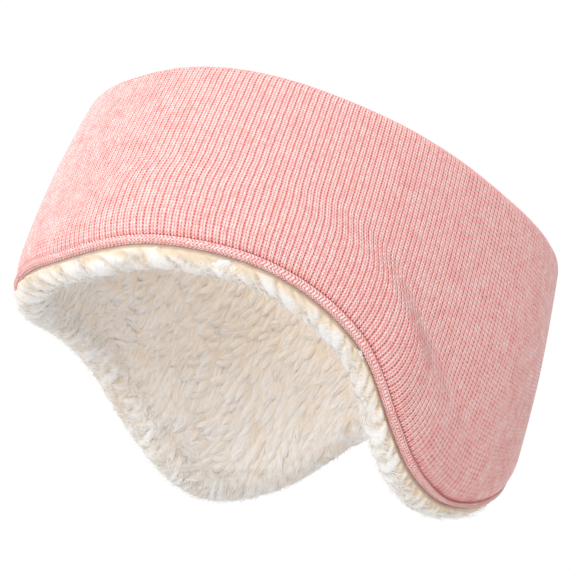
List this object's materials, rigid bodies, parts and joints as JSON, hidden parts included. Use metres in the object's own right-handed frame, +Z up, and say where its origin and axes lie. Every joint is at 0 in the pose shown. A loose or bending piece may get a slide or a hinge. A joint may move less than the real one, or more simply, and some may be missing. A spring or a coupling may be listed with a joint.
{
  "type": "knitted ear-warmer headband",
  "caption": "Wide knitted headband with rounded ear flaps, a stitched lower binding and a curly fleece lining; it slips over the head to keep the brow, ears and nape warm.",
  "frame": {"origin": "middle of the head hollow, level with the middle of the band at the brow", "axes": "+Z up to the crown, -Y towards the brow, +X towards the wearer's left ear"},
  "size_m": [0.1719, 0.2396, 0.1437],
  "materials": {
    "knit": "soft pink wool-like knit in fine upright ribs",
    "binding": "rolled pink knit with small slanted stitches",
    "fleece": "cream curly fleece in soft locks"
  },
  "bodies": {
    "root": {"knit_shell": "knit", "edge_binding": "binding", "fleece_lining": "fleece"}
  },
  "joints": []
}
